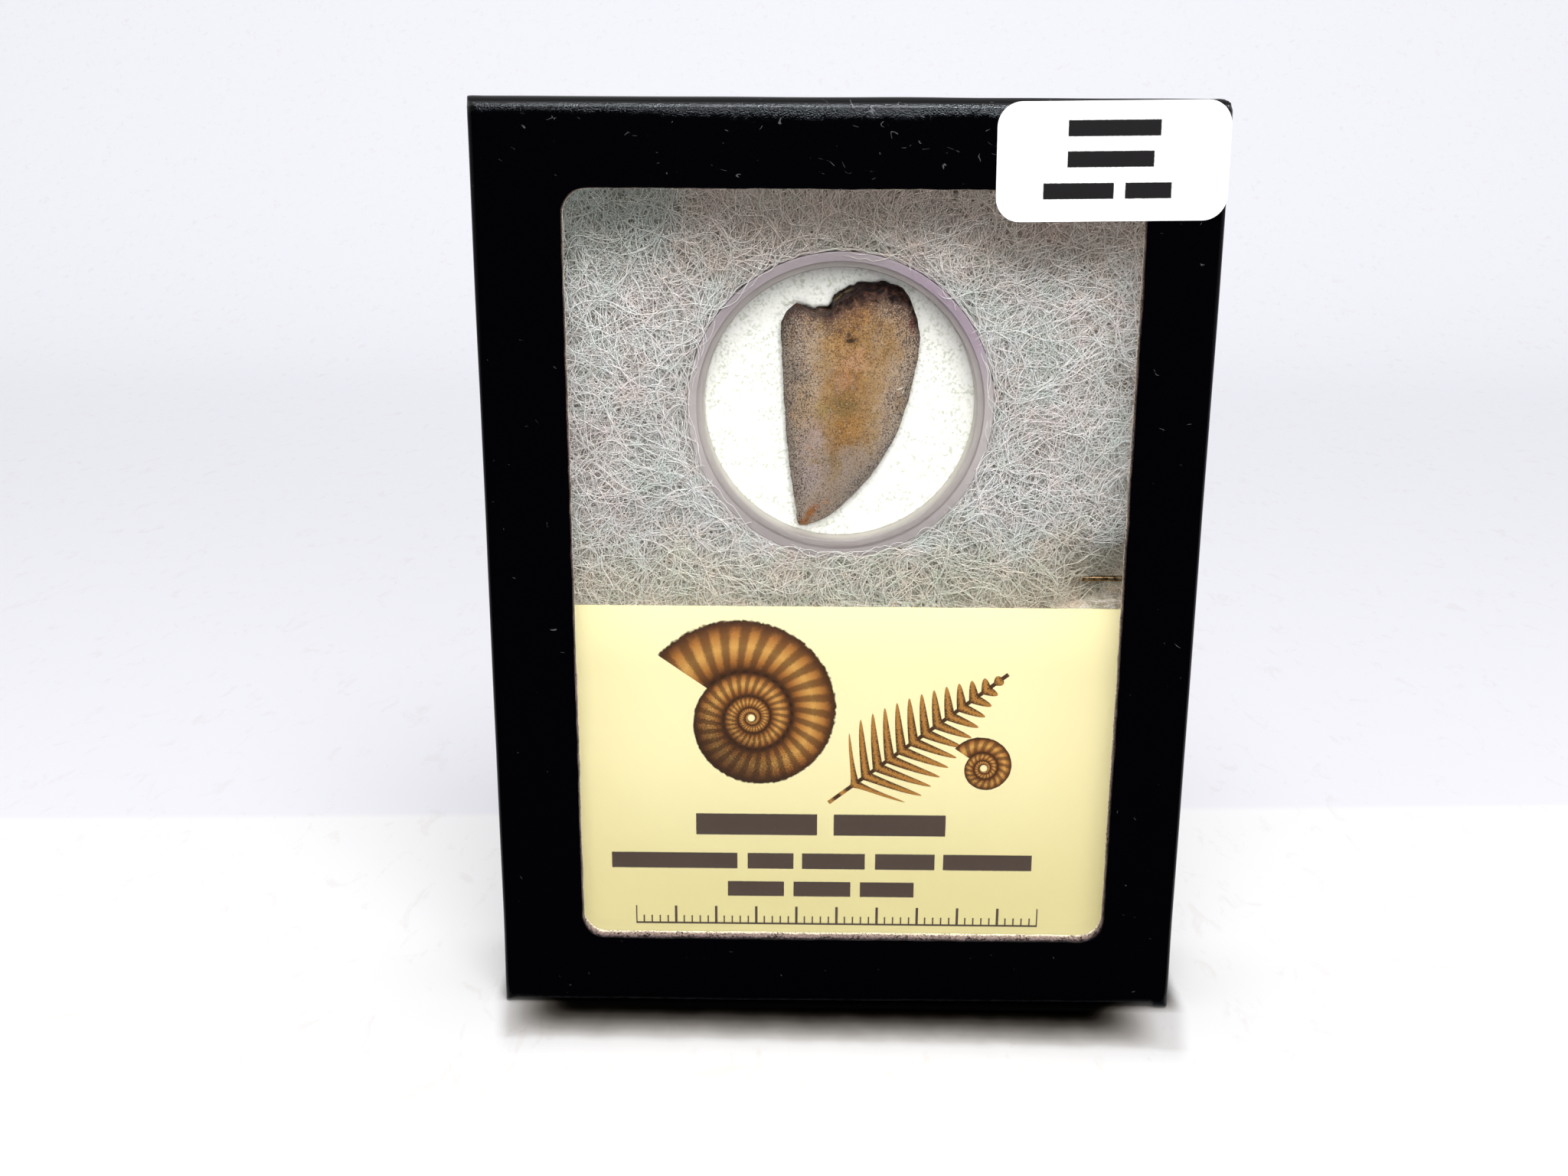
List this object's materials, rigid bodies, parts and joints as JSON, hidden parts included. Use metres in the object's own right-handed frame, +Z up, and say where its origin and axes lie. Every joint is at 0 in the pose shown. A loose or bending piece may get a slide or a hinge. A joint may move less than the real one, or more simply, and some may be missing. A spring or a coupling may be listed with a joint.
{
  "type": "fossil raptor tooth",
  "caption": "Fossil raptor tooth on foam in a clear round jar, bedded in batting behind the glass of a small black display case.",
  "frame": {"origin": "middle of the underside of the bounding box, on the surface that the case stands on", "axes": "+Z up along the case's height; the window faces -Y and the tray's back faces +Y; +X is to the right of someone looking in through the window"},
  "size_m": [0.084, 0.0196, 0.108],
  "materials": {
    "lid_wrap": "board wrapped in glossy black paper with a fine embossed grain",
    "pane": "clear polished glass",
    "tray_board": "matt black card",
    "batting": "white curly polyester fibre",
    "jar_plastic": "clear moulded plastic with a faint violet tint at its edges",
    "foam": "fine white open foam",
    "enamel": "smooth mineralised enamel, grey to orange brown with fine dark speckles",
    "card": "printed cream card",
    "label": "white adhesive label",
    "pin_steel": "dull plated steel"
  },
  "bodies": {
    "root": {"lid_frame": "lid_wrap", "glass_pane": "pane", "tray": "tray_board", "batting": "batting", "jar_cap": "jar_plastic", "jar_base": "jar_plastic", "foam_pad": "foam", "tooth": "enamel", "info_card": "card", "corner_label": "label", "pin_left": "pin_steel", "pin_right": "pin_steel"}
  },
  "joints": []
}
